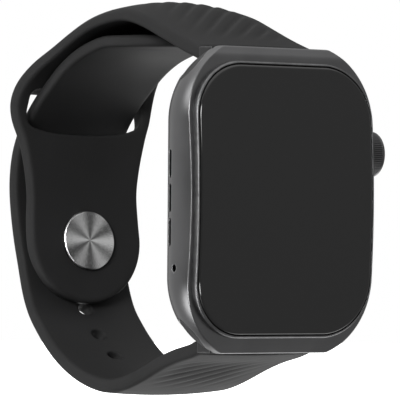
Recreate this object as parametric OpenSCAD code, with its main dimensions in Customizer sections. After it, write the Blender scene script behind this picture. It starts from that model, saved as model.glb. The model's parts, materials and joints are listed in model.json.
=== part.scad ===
// Smartwatch on a closed pin-and-tuck rubber band.
// X points to the crown side, Y toward the wrist and Z to the 12 o'clock end.
// The origin is the centre of the flat face of the back sensor window.

/* [Case] */
// Width of the case across its sides, without the crown
case_w = 36; // [35.5:0.1:36.5]
// Height of the case between its two ends
case_h = 47; // [46.8:0.1:47.5]
// Corner radius of the case seen from the front
corner_r = 12.5; // [12.3:0.1:12.7]
// Radius of the rounded side, seen from the end
side_r = 6.5; // [6.3:0.1:6.6]
// Radius of the arched front, curved along the case
arch_r = 160; // [150:5:220]
// Clearance between the lug bead and its channel
lug_gap = 0.08; // [0.05:0.01:0.12]

/* [Screen] */
// Width of the raised ring around the glass
ring_w = 33.5; // [33.2:0.1:33.6]
// Height of the raised ring around the glass
ring_h = 42.3; // [42:0.1:42.4]
// Corner radius of the ring
ring_r = 8.9; // [8.5:0.1:9.2]
// Thickness of the cover glass
glass_t = 1.2; // [1:0.1:1.2]

/* [Crown and button] */
// Diameter of the crown knob
crown_d = 7.2; // [6.8:0.1:7.4]
// Height of the crown axis above the centre of the case
crown_z = 7.5; // [7:0.1:8]
// Number of grooves around the crown
crown_grooves = 48; // [36:2:60]
// Inward travel of the crown and of the side button
press = 0.35; // [0.2:0.05:0.35]
// Length of the side button along the case
button_l = 10; // [8:0.5:11]

/* [Back] */
// Radius of the round back window
window_r = 12.5; // [12:0.1:12.6]
// Length of a band release button
release_l = 5; // [4:0.5:6]

/* [Band] */
// Width of the band at the lugs
lug_w = 22; // [21:0.5:22]
// Width of the lower strap where it overlaps
tail_w = 20.4; // [20:0.1:20.5]
// Width of the ring that keeps the tail
keeper_w = 27; // [26.5:0.1:27.4]
// Diameter of the holes in the lower strap
hole_d = 2.6; // [2.4:0.1:3]
// Distance from one hole to the next
hole_pitch = 6.3; // [6:0.1:6.6]
// Number of holes in the lower strap
hole_count = 7; // [5:1:7]
// Diameter of the stud disc
stud_d = 9.8; // [9:0.1:10.2]

/* [Hidden] */
$fn = 64;

// Levels along Y, from the screen to the skin
wide_y = -6.5;            // where the case is widest
shoulder_y = -9.7;        // front shoulder of the case
ledge_y = -9.2;           // where the ring rests
ring_top_y = -10.8;
glass_top_y = -11.05;
flange_y = -9.7;          // glass side of the ring's flange
deck_y = -8.6;            // where the front recess ends
back_y = -1.5;            // joint between case and back cover
cover_y = -0.5;           // outer face of the back cover
slip = 0.02;              // radial clearance of a running fit
seal_t = 0.15;            // thickness of the glued seals

// Half sizes in the front plane
half_w = case_w / 2;
half_h = case_h / 2;
corner_x = half_w - corner_r;
end_cut = 0.9;           // what the flat ends take off the rounded outline
corner_z = half_h + end_cut - corner_r;
bay_w = 28.4;             // inside of the case
bay_h = 34.6;
bay_r = 5;
screw_at = [12, 15.4];     // screws of the back cover
boss_r = 1.2;
bevel_z = half_h - 1.6;   // where the front turns down to the end
bevel_top_y = -8.2;
bevel_foot_y = -7.4;
arch_y = shoulder_y + arch_r;  // axis of the arched front

// The lug channel, in the Y-Z plane
bead_y = -4.6;
bead_z = half_h - 2.9;
channel_r = 2.35;
mouth_front_y = -5.9;
lip_y = -2.3;             // front face of the rear lip
lip_z = half_h - 2.2;     // tip of the rear lip
lug_start = [-2.9, 23.55];
lug_inner = [-2.2, 21.38];

// Crown stack along X
crown_y = -4.5;
knob_x = 17.15;
knob_len = 3.7;
bore_floor_x = 16.7;
bush_r = 2.1;
shaft_r = 1;
shaft_end_x = 11.4;
seal_r = 0.25;
plunger_x = 11;

// Side button
button_z = -6;
button_y = -4.5;
button_t = 2.6;

// Speaker openings in the left side
speaker_y = -4.6;
speaker_slot_w = 1;
speaker_slots = [[3.2, 7.5], [-2, 2.3], [-7.2, -2.9]];
mic_z = -10.5;
mic_y = -6.2;

release_z = bead_z - 2;
catch_z = bead_z - 1.5;
catch_r = 0.4;

// Main board
board_front_y = -5.1;
ledge_x = 9.3;            // ledges and screws that hold the board
ledge_z = 15.2;

// Strap stations: Y, Z, half width, edge thickness, rise at the middle
upper_path = [
    [lug_start[0], lug_start[1], lug_w / 2, 2.28, 0.2],
    [2.5, 25.3, lug_w / 2, 2.2, 0.5],
    [8, 27.3, lug_w / 2 + 0.1, 2.1, 0.9],
    [13.2, 29.15, lug_w / 2 + 0.2, 2, 1.2],
    [18.5, 30.2, lug_w / 2 + 0.2, 1.9, 1.5],
    [23.5, 29.9, lug_w / 2 + 0.2, 1.8, 1.4],
    [28.5, 28.9, lug_w / 2 + 0.3, 1.7, 1.2],
    [33.5, 27.2, lug_w / 2 + 0.3, 1.7, 0.9],
    [38.4, 24.8, lug_w / 2 + 0.8, 1.8, 0.6],
    [42.7, 22.5, lug_w / 2 + 1.6, 2, 0.4],
    [46.2, 19.6, keeper_w / 2 - 0.2, 2.3, 0.3],
    [48, 16.4, keeper_w / 2, 2.5, 0.2],
    [48.2, 13.2, keeper_w / 2 - 0.4, 2.5, 0.2],
    [47.9, 9.8, lug_w / 2 + 0.9, 2.5, 0.1],
    [47.8, 6, lug_w / 2, 2.4, 0.1],
    [47.8, 1.5, lug_w / 2 - 0.6, 2.4, 0.1],
    [47.6, -3, lug_w / 2 - 0.4, 2.4, 0.1],
    [47.2, -6.2, lug_w / 2 - 0.3, 2.4, 0.1]];
lobe_r = lug_w / 2 - 0.3;
slot_at = [45.5, 14.4];   // middle of the keeper slot at the inner face
slot_slant = 31;
slot_top = 3.6;
slot_dish = 2.7;
lower_path = [
    [lug_start[0], -lug_start[1], lug_w / 2, 2.28, 0.2],
    [-0.2, -24.35, lug_w / 2, 2.2, 0.3],
    [4.3, -25.3, lug_w / 2, 2.2, 0.3],
    [9, -26.7, lug_w / 2 - 0.1, 2.2, 0.5],
    [14.3, -28.6, lug_w / 2 - 0.2, 2.2, 0.7],
    [19.5, -30, tail_w / 2 + 0.5, 2.2, 0.6],
    [24.5, -30.35, tail_w / 2 + 0.3, 2.2, 0.5],
    [29.6, -29.65, tail_w / 2 + 0.1, 2.2, 0.4],
    [34.1, -28.3, tail_w / 2, 2.2, 0.3],
    [38.15, -26.35, tail_w / 2, 2.2, 0.3],
    [41.5, -24.1, tail_w / 2, 2.2, 0.3],
    [44.35, -21.6, tail_w / 2, 2.2, 0.3],
    [47.05, -18.7, tail_w / 2, 2.2, 0.3],
    [49, -15.2, tail_w / 2, 2.3, 0.3],
    [50.6, -10.3, tail_w / 2, 2.3, 0.3],
    [52, -5.8, tail_w / 2, 2.3, 0.3],
    [53.1, -0.4, tail_w / 2, 2.3, 0.3],
    [53.3, 4, tail_w / 2, 2.3, 0.3],
    [52.5, 8.2, tail_w / 2, 2.2, 0.3],
    [50.6, 11.9, tail_w / 2, 2.1, 0.2],
    [48.1, 14.8, tail_w / 2, 2, 0.1],
    [45.4, 17.3, tail_w / 2, 2, 0.1],
    [42.2, 19.7, tail_w / 2, 2, 0.1],
    [38.2, 22.4, tail_w / 2, 2, 0.1],
    [33.7, 24.5, tail_w / 2, 2, 0.1],
    [29, 25.8, tail_w / 2, 2, 0.1],
    [25.7, 26.25, tail_w / 2, 1.9, 0.1],
    [23, 26.25, tail_w / 2, 1.9, 0.1]];
path_steps = 3;

// ---- curves ----
function spline_point(a, b, c, d, t) =
    (2 * b + (c - a) * t + (2 * a - 5 * b + 4 * c - d) * t * t
     + (3 * b - a - 3 * c + d) * t * t * t) / 2;
function spline(p, n) = concat(
    [for (i = [0:len(p) - 2], j = [0:n - 1])
        spline_point(p[max(i - 1, 0)], p[i], p[i + 1], p[min(i + 2, len(p) - 1)], j / n)],
    [p[len(p) - 1]]);
function flat(v) = [v[0], v[1]];
function tangent(p, i) =
    let (d = flat(p[min(i + 1, len(p) - 1)]) - flat(p[max(i - 1, 0)])) d / norm(d);
// Rings past the last station that close a strap with a round end of radius r
function round_end(p, r) =
    let (last = p[len(p) - 1], d = tangent(p, len(p) - 1))
    [for (a = [15:15:75])
        [last[0] + d[0] * r * sin(a), last[1] + d[1] * r * sin(a), r * cos(a), last[3], last[4]],
     [last[0] + d[0] * r * 0.995, last[1] + d[1] * r * 0.995, r * 0.1, last[3], last[4] / 2]];
function lengths(p, i = 0, sum = 0, out = [0]) =
    i == len(p) - 1 ? out :
    let (s = sum + norm(flat(p[i + 1]) - flat(p[i]))) lengths(p, i + 1, s, concat(out, [s]));
// Index of the station just before the length s
function before(l, s, i = 0) = i >= len(l) - 2 || l[i + 1] > s ? i : before(l, s, i + 1);
function station(p, l, s) =
    let (i = before(l, s), t = (s - l[i]) / (l[i + 1] - l[i])) p[i] * (1 - t) + p[i + 1] * t;

// Cross-section of a strap: half width w, edge thickness t, rise d in the middle
function section(w, t, d) =
    let (e = min(0.3 * t, 0.4 * w))
    [for (q = [-0.65, -0.35]) [-w, t * q],
     for (k = [-1, -0.6, -0.3, 0, 0.3, 0.6, 1]) [k * (w - e), d * (1 - k * k)],
     for (q = [-0.35, -0.65]) [w, t * q],
     [w - e, -t], [e - w, -t]];

// side is 1 for a strap whose outer face turns left of its direction of travel, -1 for right
module strap(p, side) {
    k = len(section(1, 1, 0));
    rings = [for (i = [0:len(p) - 1])
        let (t = tangent(p, i), n = side * [-t[1], t[0]])
        [for (q = section(p[i][2], p[i][3], p[i][4]))
            [q[0], p[i][0] + n[0] * q[1], p[i][1] + n[1] * q[1]]]];
    m = len(rings);
    skin = [for (i = [0:m - 2], j = [0:k - 1])
        let (a = i * k + j, b = i * k + (j + 1) % k)
        each [[a, b, b + k], [a, b + k, a + k]]];
    caps = [[for (j = [k - 1:-1:0]) j], [for (j = [0:k - 1]) (m - 1) * k + j]];
    all = concat(skin, caps);
    faces = side > 0 ? all : [for (f = all) [for (q = [len(f) - 1:-1:0]) f[q]]];
    polyhedron([for (r = rings) each r], faces);
}

// ---- placing ----
// Extrudes an X-Z outline from y0 to y1
module along_y(y0, y1)
    translate([0, y1, 0]) rotate([90, 0, 0]) linear_extrude(y1 - y0) children();
// Extrudes a Z-Y outline across the width w
module along_x(w)
    rotate([0, -90, 0]) linear_extrude(w, center = true) children();
// A cylinder along +X from x0 to x1 at y, z
module rod_x(x0, x1, y, z, r)
    translate([x0, y, z]) rotate([0, 90, 0]) cylinder(r = r, h = x1 - x0);
// A cylinder along +Y from y0 to y1 at x, z
module rod_y(y0, y1, x, z, r)
    translate([x, y0, z]) rotate([-90, 0, 0]) cylinder(r = r, h = y1 - y0);
module box(x0, x1, y0, y1, z0, z1)
    translate([x0, y0, z0]) cube([x1 - x0, y1 - y0, z1 - z0]);
module rounded(w, h, r) {
    square([w - 2 * r, h], center = true);
    square([w, h - 2 * r], center = true);
    for (x = [-1, 1], z = [-1, 1])
        translate([x * (w / 2 - r), z * (h / 2 - r)]) circle(r);
}
// A slot along 2D x with round ends
module stadium(l, w) {
    square([l - w, w], center = true);
    for (s = [-1, 1]) translate([s * (l - w) / 2, 0]) circle(w / 2);
}

// Rounded side of the case, outward from a corner centre, between two levels
module side_profile(y0, y1, inset) {
    intersection() {
        union() {
            translate([0, y0]) square([corner_r - side_r, y1 - y0]);
            translate([corner_r - side_r, wide_y]) circle(side_r - inset);
        }
        translate([0, y0]) square([corner_r, y1 - y0]);
    }
}
module mirrored_profile(reach, y0, y1, inset) {
    for (s = [0, 1]) mirror([s, 0]) translate([reach, 0]) side_profile(y0, y1, inset);
    translate([-reach, y0]) square([2 * reach, y1 - y0]);
}
// The outer form of the case between two levels along Y
module case_form(y0, y1, inset = 0) {
    intersection() {
        union() {
            linear_extrude(2 * corner_z, center = true) mirrored_profile(corner_x, y0, y1, inset);
            along_x(2 * corner_x) mirrored_profile(corner_z, y0, y1, inset);
            for (x = [-1, 1], z = [-1, 1])
                translate([x * corner_x, 0, z * corner_z]) rotate([-90, 0, 0])
                    rotate_extrude() side_profile(y0, y1, inset);
        }
        box(-case_w, case_w, y0 - 1, y1 + 1, inset - half_h, half_h - inset);
    }
}

// Keeps what lies between two levels of the arched front, given at its middle
module arched(y0, y1) {
    intersection() {
        children();
        difference() {
            rod_x(-half_w, half_w, arch_y, 0, arch_y - y0, $fn = 360);
            rod_x(-half_w - 1, half_w + 1, arch_y, 0, arch_y - y1, $fn = 360);
        }
    }
}

// ---- case ----
module end_bevels() {
    slope = atan2(half_h - bevel_z, bevel_foot_y - bevel_top_y);
    for (m = [0, 1]) mirror([0, 0, m])
        translate([0, bevel_top_y, bevel_z]) rotate([90 - slope, 0, 0])
            translate([-half_w, -4, -4]) cube([case_w, 4, 10]);
}
module lug_channel() {
    translate([bead_z, bead_y]) circle(channel_r);
    polygon([[bead_z, mouth_front_y], [half_h + 2, mouth_front_y], [half_h + 2, 0],
             [lip_z, 0], [lip_z, lip_y], [bead_z, lip_y]]);
}
module release_pocket() {
    along_y(-2.3, back_y + 1) stadium(release_l + 1.3, 2.1);
    along_y(bead_y, -2) stadium(2.8, 1.3);
}
module case_frame() {
    color([0.27, 0.27, 0.28]) difference() {
        case_form(shoulder_y - 0.2, back_y);
        difference() {
            box(-case_w, case_w, shoulder_y - 1, bead_y, -case_h, case_h);
            rod_x(-case_w - 1, case_w + 1, arch_y, 0, arch_r, $fn = 360);
        }
        end_bevels();
        arched(shoulder_y - 1, ledge_y) front_stack(ring_w + 0.4, ring_h + 0.4, ring_r + 0.2);
        arched(shoulder_y - 1, deck_y) front_stack(30.2, 39, 7.4);
        difference() {
            along_y(deck_y - 2, back_y + 1) rounded(bay_w, bay_h, bay_r);
            at_screws() rod_y(-7.2, back_y, 0, 0, boss_r);
            for (x = [-1, 1]) difference() {
                box(x * ledge_x - 1, x * ledge_x + 1, -6.2, board_front_y, ledge_z - 1, bay_h / 2 + 1);
                rod_y(-7, -5, x * ledge_x, ledge_z, 0.55);
            }
        }
        for (m = [0, 1]) mirror([0, 0, m]) {
            along_x(case_w) lug_channel();
            translate([0, 0, release_z]) release_pocket();
        }
        // crown bore and seat
        rod_x(bore_floor_x, half_w + 1, crown_y, crown_z, crown_d / 2 + 0.3);
        rod_x(bay_w / 2 - 1, half_w, crown_y, crown_z, bush_r);
        // side button window and the pocket of its flange
        translate([0, button_y, button_z]) {
            rotate([0, 90, 0]) linear_extrude(half_w + 1) stadium(button_l + 0.3, button_t + 0.3);
            rotate([0, 90, 0]) linear_extrude(15.8) stadium(button_l + 2.2, button_t + 1.7);
        }
        // speaker openings, their inner pocket, and the microphone hole
        for (s = speaker_slots)
            translate([-half_w - 1, speaker_y, (s[0] + s[1]) / 2]) rotate([0, 90, 0])
                linear_extrude(4.5) stadium(s[1] - s[0], speaker_slot_w);
        box(-15.6, -bay_w / 2 + 1, -5.9, -2.7, -8.2, 8.2);
        rod_x(-half_w - 1, -bay_w / 2 + 1, mic_y, mic_z, 0.55);
        // screw holes from the back
        at_screws() rod_y(-4.4, back_y + 1, 0, 0, 0.55);
    }
}
module at_screws()
    for (x = [-1, 1], z = [-1, 1]) translate([x * screw_at[0], 0, z * screw_at[1]]) children();
module front_stack(w, h, r)
    along_y(glass_top_y - 1, bead_y - 1) rounded(w, h, r);
module bezel_ring() {
    color([0.3, 0.3, 0.31]) difference() {
        arched(ring_top_y, ledge_y) front_stack(ring_w, ring_h, ring_r);
        arched(ring_top_y - 1, flange_y) front_stack(ring_w - 0.8, ring_h - 0.8, ring_r - 0.4);
        front_stack(30, 38.8, 7.3);
    }
}
module cover_glass() {
    rim = 0.35;
    color([0.05, 0.05, 0.06]) {
        arched(glass_top_y, glass_top_y + glass_t) front_stack(31.8, 40.7, ring_r - 0.8);
        arched(glass_top_y + rim, glass_top_y + glass_t)
            front_stack(ring_w - 1, ring_h - 1, ring_r - 0.5);
    }
}
module glass_gasket() {
    color([0.1, 0.1, 0.1]) difference() {
        arched(glass_top_y + glass_t, flange_y) front_stack(ring_w - 1.1, ring_h - 1.1, ring_r - 0.5);
        front_stack(30, 38.8, 7.3);
    }
}
module display_panel() {
    color([0.06, 0.06, 0.08])
        arched(glass_top_y + glass_t + 0.03, -9) front_stack(29.4, 38.2, 7);
}
module display_bracket() {
    color([0.6, 0.6, 0.62]) difference() {
        arched(-9, -8.7) front_stack(29.8, 38.4, 7.2);
        for (z = [-1, 1]) along_y(-10, -7) translate([0, z * 15]) stadium(14, 3);
        along_y(-10, -7) translate([7, 3]) stadium(9, 2.4);
    }
}
module display_flex() {
    color([0.75, 0.45, 0.1]) {
        box(3.5, 9.5, -8.94, -8.85, 2.4, 3.6);
        box(3.5, 9.5, -8.94, -6.1, 2.4, 2.5);
        box(3.5, 9.5, -6.2, -6.1, 2.45, 4);
    }
}

// ---- back ----
module back_cover() {
    color([0.12, 0.12, 0.13]) difference() {
        union() {
            case_form(back_y, cover_y);
            along_y(back_y - 0.5, back_y + 0.1) difference() {
                rounded(bay_w - 0.3, bay_h - 0.3, bay_r - 0.15);
                rounded(bay_w - 1.9, bay_h - 1.9, bay_r - 0.9);
            }
        }
        rod_y(back_y + 0.35, 1, 0, 0, window_r + 0.1);
        rod_y(back_y - 1, 1, 0, 0, window_r - 1);
        for (z = [-1, 1]) along_y(back_y - 1, 1) translate([0, z * release_z])
            stadium(release_l + 0.3, 1.5);
        at_screws() {
            rod_y(back_y - 2, back_y, 0, 0, boss_r + 0.15);
            rod_y(back_y - 2, 1, 0, 0, 0.65);
            rod_y(cover_y - 0.45, 1, 0, 0, 1.05);
        }
    }
}
module back_crystal() {
    flat_r = window_r - 2;
    base_y = back_y + 0.35 + seal_t;
    color([0.1, 0.1, 0.11]) rotate([-90, 0, 0]) rotate_extrude()
        polygon(concat([[0, base_y], [window_r, base_y], [window_r, cover_y]],
            [for (a = [10:10:90]) [flat_r + (window_r - flat_r) * cos(a), cover_y * (1 - sin(a))]],
            [[0, 0]]));
}
module crystal_gasket() {
    color([0.08, 0.08, 0.08]) difference() {
        rod_y(back_y + 0.35, back_y + 0.35 + seal_t, 0, 0, window_r);
        rod_y(back_y, 0, 0, 0, window_r - 0.9);
    }
}
module back_screws() {
    color([0.5, 0.5, 0.52]) at_screws() difference() {
        union() {
            rod_y(cover_y - 0.45, cover_y - 0.05, 0, 0, 0.95);
            rod_y(-4.2, cover_y - 0.4, 0, 0, 0.5);
        }
        along_y(cover_y - 0.3, 0) for (a = [0, 60, 120]) rotate(a) square([1, 0.28], center = true);
    }
}
module sensor_board() {
    color([0.05, 0.2, 0.1]) rod_y(-3, -2.5, 0, 0, 8.4);
}
module sensor_leds() {
    color([0.3, 0.8, 0.4]) {
        for (a = [0:90:270]) rotate([0, a, 0]) box(2.6, 5.6, -2.5, -1.6, -0.9, 0.9);
        box(-1.2, 1.2, -2.5, -1.7, -1.2, 1.2);
        for (a = [45:90:315]) rotate([0, a, 0]) box(4.4, 6.2, -2.5, -1.7, -0.9, 0.9);
    }
}
module charging_coil() {
    color([0.75, 0.4, 0.2]) for (r = [9:0.55:10.7]) difference() {
        rod_y(-2.3, -1.8, 0, 0, r + 0.5);
        rod_y(-3, 0, 0, 0, r);
    }
}
module coil_ferrite() {
    color([0.2, 0.2, 0.22]) difference() {
        rod_y(-2.5, -2.3, 0, 0, 11.4);
        rod_y(-3, 0, 0, 0, 8.7);
    }
}

// ---- inside ----
module battery() {
    color([0.25, 0.26, 0.28]) along_y(-7.5, -3.4) translate([-0.2, -8.9]) rounded(18.4, 15.2, 1);
}
module battery_wrap() {
    color([0.15, 0.3, 0.5]) difference() {
        along_y(-7.65, -3.25) translate([-0.2, -8.9]) rounded(18.7, 12, 0.5);
        along_y(-7.5, -3.4) translate([-0.2, -8.9]) rounded(18.4, 15.2, 1);
    }
}
module main_board() {
    color([0.05, 0.25, 0.12]) difference() {
        along_y(board_front_y, -4.4) union() {
            translate([-0.2, 7.9]) square([18.4, 17], center = true);
            translate([0, ledge_z]) rounded(2 * ledge_x + 2.2, 3, 0.8);
        }
        for (x = [-1, 1]) rod_y(-6, -4, x * ledge_x, ledge_z, 0.6);
    }
}
module board_chips() {
    color([0.12, 0.12, 0.13]) {
        box(-8, 1.5, -6.2, -5.1, 5, 14);
        box(3, 8, -6, -5.1, 7, 13);
        box(3, 8.6, -6, -5.1, 2.9, 4.6);
        box(-8, -3, -5.9, -5.1, 0.6, 3.8);
        box(-6, 0, -4.4, -3.5, 3, 9);
        box(2, 7, -4.4, -3.6, 10, 14.5);
        for (i = [0:5]) box(-7.5 + i * 2, -6.5 + i * 2, -5.6, -5.1, 14.5, 15.1);
    }
}
module board_screws() {
    color([0.7, 0.7, 0.72]) for (x = [-1, 1]) {
        rod_y(-4.4, -3.9, x * ledge_x, ledge_z, 1);
        rod_y(-6, -4.3, x * ledge_x, ledge_z, 0.5);
    }
}
module speaker_module() {
    color([0.2, 0.2, 0.21]) {
        box(-15.1, -9.8, -5.7, -2.9, -7.9, 7.9);
        box(-13.9, -9.8, -7.9, -5.7, -5, 5);
    }
}
module speaker_mesh() {
    color([0.4, 0.4, 0.42]) box(-15.6, -15.3, -5.7, -2.9, -8, 8);
    color([0.1, 0.1, 0.1]) box(-15.3, -15.1, -5.5, -3.1, -7.9, 7.9);
}
module microphone() {
    color([0.7, 0.65, 0.4]) box(-13.7, -11.2, mic_y - 1.3, mic_y + 1.3, mic_z - 1.6, mic_z + 1.6);
}
module mic_mesh() {
    color([0.4, 0.4, 0.42]) rod_x(-14.2, -13.7, mic_y, mic_z, 1.1);
}
module vibration_motor() {
    color([0.65, 0.65, 0.67]) along_y(-7.6, -3.2) translate([11.3, -12.2]) rounded(3, 3.6, 0.8);
}
module antenna_strip() {
    color([0.8, 0.5, 0.15]) {
        box(-9, 9, -7.5, -7.35, 15.6, 16.9);
        box(-9, 9, -7.5, -6.3, 16.8, 16.95);
        box(6, 8, -6.45, -5.1, 16, 16.95);
    }
}

// ---- crown ----
module crown_bush() {
    color([0.7, 0.6, 0.35]) difference() {
        rod_x(13.4, bore_floor_x, crown_y, crown_z, bush_r);
        rod_x(13, 17, crown_y, crown_z, shaft_r + slip);
        rod_x(bore_floor_x - 1.15, 17, crown_y, crown_z, shaft_r + 2 * seal_r + slip);
    }
}
module crown_seal() {
    color([0.1, 0.1, 0.1]) translate([bore_floor_x - 0.4, crown_y, crown_z]) rotate([0, 90, 0])
        rotate_extrude() translate([shaft_r + seal_r, 0]) circle(seal_r);
}
module crown_knob() {
    groove = 0.14;
    chamfer = 0.35;
    r = crown_d / 2;
    color([0.15, 0.15, 0.16]) difference() {
        translate([knob_x, crown_y, crown_z]) rotate([0, 90, 0]) rotate_extrude()
            polygon([[0, 0], [r - chamfer, 0], [r, chamfer], [r, knob_len - chamfer],
                     [r - chamfer, knob_len], [0, knob_len]]);
        for (i = [0:crown_grooves - 1])
            translate([0, crown_y, crown_z]) rotate([i * 360 / crown_grooves, 0, 0])
                rod_x(knob_x + 0.5, knob_x + knob_len - 0.5, 0, r + 0.04, groove);
        rod_x(knob_x - 1, knob_x + 1.2, crown_y, crown_z, shaft_r);
        rod_x(knob_x + knob_len - 0.3, knob_x + knob_len + 1, crown_y, crown_z, r - 0.8);
    }
}
module crown_cap() {
    color([0.1, 0.1, 0.1])
        rod_x(knob_x + knob_len - 0.3, knob_x + knob_len - 0.08, crown_y, crown_z, crown_d / 2 - 0.8);
}
module crown_shaft() {
    color([0.75, 0.75, 0.77]) difference() {
        rod_x(shaft_end_x, knob_x + 1.2, crown_y, crown_z, shaft_r);
        difference() {
            rod_x(12.95, 13.2, crown_y, crown_z, shaft_r + 1);
            rod_x(12.9, 13.3, crown_y, crown_z, shaft_r - 0.2);
        }
    }
}
module crown_clip() {
    color([0.6, 0.6, 0.62]) difference() {
        rod_x(12.95, 13.2, crown_y, crown_z, 1.7);
        rod_x(12, 14, crown_y, crown_z, shaft_r - 0.2);
        box(12, 14, crown_y - 0.45, crown_y + 0.45, crown_z, crown_z + 3);
    }
}
module crown_encoder() {
    color([0.85, 0.85, 0.85]) difference() {
        rod_x(12.6, 12.85, crown_y, crown_z, 1.8);
        rod_x(12, 14, crown_y, crown_z, shaft_r);
        for (i = [0:15]) translate([0, crown_y, crown_z]) rotate([i * 22.5, 0, 0])
            box(12, 13, -0.12, 0.12, 1.35, 1.65);
    }
}
module crown_plunger() {
    color([0.8, 0.8, 0.75]) difference() {
        rod_x(plunger_x, 12.5, crown_y, crown_z, 1.7);
        rod_x(shaft_end_x - 0.05, 13, crown_y, crown_z, shaft_r + slip);
    }
}
module crown_switch() {
    color([0.5, 0.5, 0.5]) {
        box(9.2, 10.1, crown_y - 1.6, crown_y + 1.6, crown_z - 1.6, crown_z + 1.6);
        rod_x(10.1, plunger_x - press - 0.05, crown_y, crown_z, 0.9);
    }
}

// ---- side button ----
module side_button() {
    color([0.28, 0.28, 0.29]) {
        intersection() {
            translate([15.1, button_y, button_z]) rotate([0, 90, 0])
                linear_extrude(4) stadium(button_l, button_t);
            translate([half_w - side_r, wide_y, button_z - button_l])
                cylinder(r = side_r + 0.1, h = 2 * button_l);
        }
        translate([15.1, button_y, button_z]) rotate([0, 90, 0])
            linear_extrude(0.5) stadium(button_l + 1.6, button_t + 1.1);
        rod_x(14, 15.3, button_y, button_z, 0.8);
    }
}
module side_button_clip() {
    color([0.65, 0.65, 0.67]) difference() {
        translate([14.25, button_y, button_z]) rotate([0, 90, 0])
            linear_extrude(0.25) stadium(button_l + 2.2, button_t + 1.7);
        rod_x(13, 16, button_y, button_z, 1.1);
    }
}
module side_button_switch() {
    color([0.5, 0.5, 0.5]) {
        box(11.8, 13, button_y - 1.5, button_y + 1.5, button_z - 2, button_z + 2);
        rod_x(13, 14 - press - 0.05, button_y, button_z, 0.7);
    }
}
module release_button() {
    along_y(back_y - 0.35, back_y - 0.05) stadium(release_l + 1, 1.8);
    along_y(back_y - 0.1, cover_y - 0.05) stadium(release_l, 1.2);
    along_y(-2.55, back_y - 0.3) stadium(2.4, 0.6);
}
module release_button_upper() {
    color([0.35, 0.35, 0.36]) translate([0, 0, release_z]) release_button();
}
module release_button_lower() {
    color([0.35, 0.35, 0.36]) translate([0, 0, -release_z]) release_button();
}

// ---- band ----
upper_curve = spline(upper_path, path_steps);
lower_curve = spline(lower_path, path_steps);
lower_lengths = lengths(lower_curve);

// Stud seat on the inner face of the upper strap
stud_dir = tangent(upper_curve, len(upper_curve) - 1);
stud_n = [-stud_dir[1], stud_dir[0]];
strap_end = upper_curve[len(upper_curve) - 1];
stud_at = flat(strap_end) - strap_end[3] * stud_n + 0.4 * stud_dir;
// Where the axis of the stud crosses the lower strap
stud_side = [for (p = lower_curve) (flat(p) - stud_at) * stud_dir];
stud_i = [for (i = [0:len(lower_curve) - 2])
    if (stud_side[i] > 0 && stud_side[i + 1] <= 0) i][0];
stud_station = lower_lengths[stud_i] + (lower_lengths[stud_i + 1] - lower_lengths[stud_i])
    * stud_side[stud_i] / (stud_side[stud_i] - stud_side[stud_i + 1]);
// From the seat to the outer face of the lower strap
stack_t = (flat(station(lower_curve, lower_lengths, stud_station)) - stud_at) * stud_n + 0.3;

module lug_section() {
    translate([bead_z, bead_y]) circle(channel_r - lug_gap);
    polygon([[bead_z + 0.9, mouth_front_y + lug_gap], [half_h - 0.08, mouth_front_y + lug_gap],
             [lug_start[1], lug_start[0]], [lug_inner[1], lug_inner[0]],
             [lug_inner[1], lip_y - lug_gap], [bead_z + 0.3, lip_y - lug_gap]]);
}
module lug() {
    difference() {
        union() {
            along_x(lug_w) lug_section();
            intersection() {
                along_x(case_w) lug_section();
                case_form(shoulder_y, back_y, 0.15);
            }
        }
        rod_y(-5.8, -2, 0, catch_z, catch_r + slip);
    }
}
module upper_lug() {
    color([0.13, 0.13, 0.14]) lug();
}
module lower_lug() {
    color([0.13, 0.13, 0.14]) mirror([0, 0, 1]) lug();
}
module lug_catches() {
    color([0.7, 0.7, 0.72]) for (m = [0, 1]) mirror([0, 0, m])
        rod_y(-5.7, -3.3, 0, catch_z, catch_r);
}

// Slot of the keeper ring, slanted as the tail passes it: straight at the top, dished below
module keeper_slot() {
    half = tail_w / 2 + 0.85;
    translate([0, slot_at[0], slot_at[1]]) rotate([-slot_slant, 0, 0])
        along_y(-3, 6) polygon(concat([[half, slot_top], [-half, slot_top]],
            [for (a = [0:15:180]) [-half * cos(a), -slot_dish * sqrt(sin(a))]]));
}
// What a strap leaves to its lug
module lug_side() {
    a = [lug_start[1], lug_start[0]];
    d = a - [lug_inner[1], lug_inner[0]];
    along_x(case_w) polygon([a + 2 * d, a + 2 * d - [0, 5], a - 3 * d - [0, 5], a - 3 * d]);
    box(-case_w, case_w, back_y - 2, back_y + 0.4, lug_inner[1] - 3, lug_inner[1] + 0.85);
}
module upper_strap() {
    color([0.12, 0.12, 0.13]) difference() {
        strap(concat(upper_curve, round_end(upper_curve, lobe_r)), 1);
        keeper_slot();
        lug_side();
        at_stud() rod_y(-2, 4, 0, 0, 1.1);
    }
}
module at_stud()
    translate([0, stud_at[0], stud_at[1]]) rotate([atan2(stud_n[1], stud_n[0]), 0, 0]) children();
module strap_hole(i) {
    s = stud_station + i * hole_pitch;
    q = station(lower_curve, lower_lengths, s);
    ahead = station(lower_curve, lower_lengths, s + 0.5);
    a = atan2(ahead[1] - q[1], ahead[0] - q[0]);
    translate([0, q[0], q[1]]) rotate([a - 90, 0, 0]) rod_y(-4, 2, 0, 0, hole_d / 2);
}
module lower_strap() {
    color([0.12, 0.12, 0.13]) difference() {
        strap(concat(lower_curve, round_end(lower_curve, tail_w / 2)), -1);
        mirror([0, 0, 1]) lug_side();
        for (i = [0:hole_count - 1]) strap_hole(i - hole_count + 3);
        at_stud() rod_y(1, stack_t + 0.4, 0, 0, 1.14);
    }
}
module stud_disc() {
    color([0.75, 0.75, 0.77]) at_stud() rotate([-90, 0, 0]) rotate_extrude()
        polygon([[0, -0.75], [stud_d / 2 - 0.2, -0.75], [stud_d / 2, -0.55],
                 [stud_d / 2, -0.12], [0, -0.12]]);
}
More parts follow.
